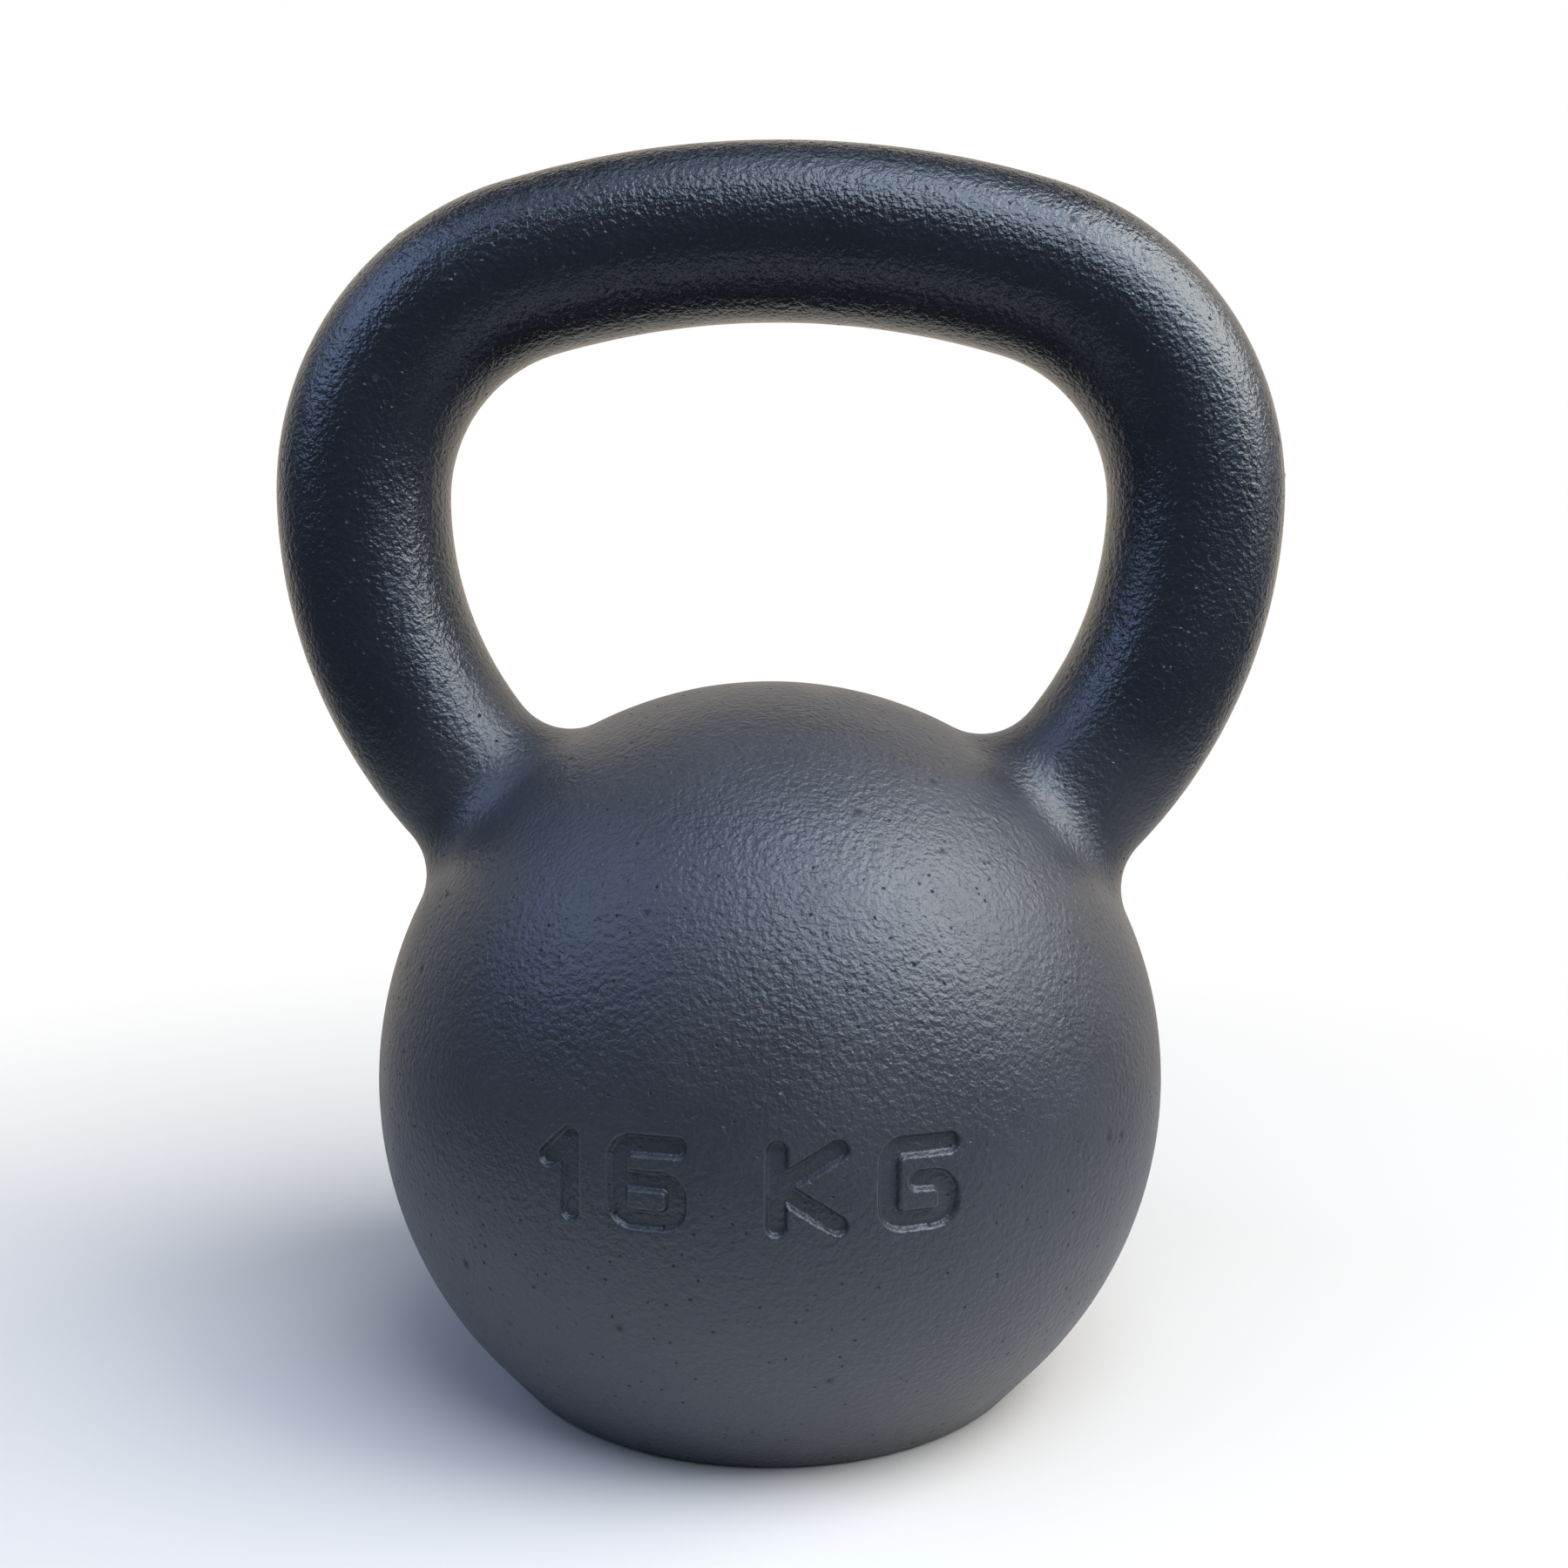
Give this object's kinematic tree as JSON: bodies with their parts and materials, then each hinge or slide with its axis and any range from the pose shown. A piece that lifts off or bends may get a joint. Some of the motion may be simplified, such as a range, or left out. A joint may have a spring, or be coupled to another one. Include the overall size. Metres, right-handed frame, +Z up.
{
  "type": "kettlebell",
  "caption": "Kettlebell: solid cast iron ball with a flat base and a bent round-bar handle, under a dark textured powder coat, with a plain weight mark.",
  "frame": {"origin": "centre of the flat base, on the surface that the kettlebell stands on", "axes": "+Z up through the ball to the grip, X along the grip, the weight mark faces -Y"},
  "size_m": [0.198, 0.156, 0.242],
  "materials": {
    "cast_iron": "grey iron, machined flat where it shows",
    "powder_coat": "black textured powder coat, matte on the ball and satin on the handle"
  },
  "bodies": {
    "root": {"iron_casting": "cast_iron", "powder_coat": "powder_coat"}
  },
  "joints": []
}
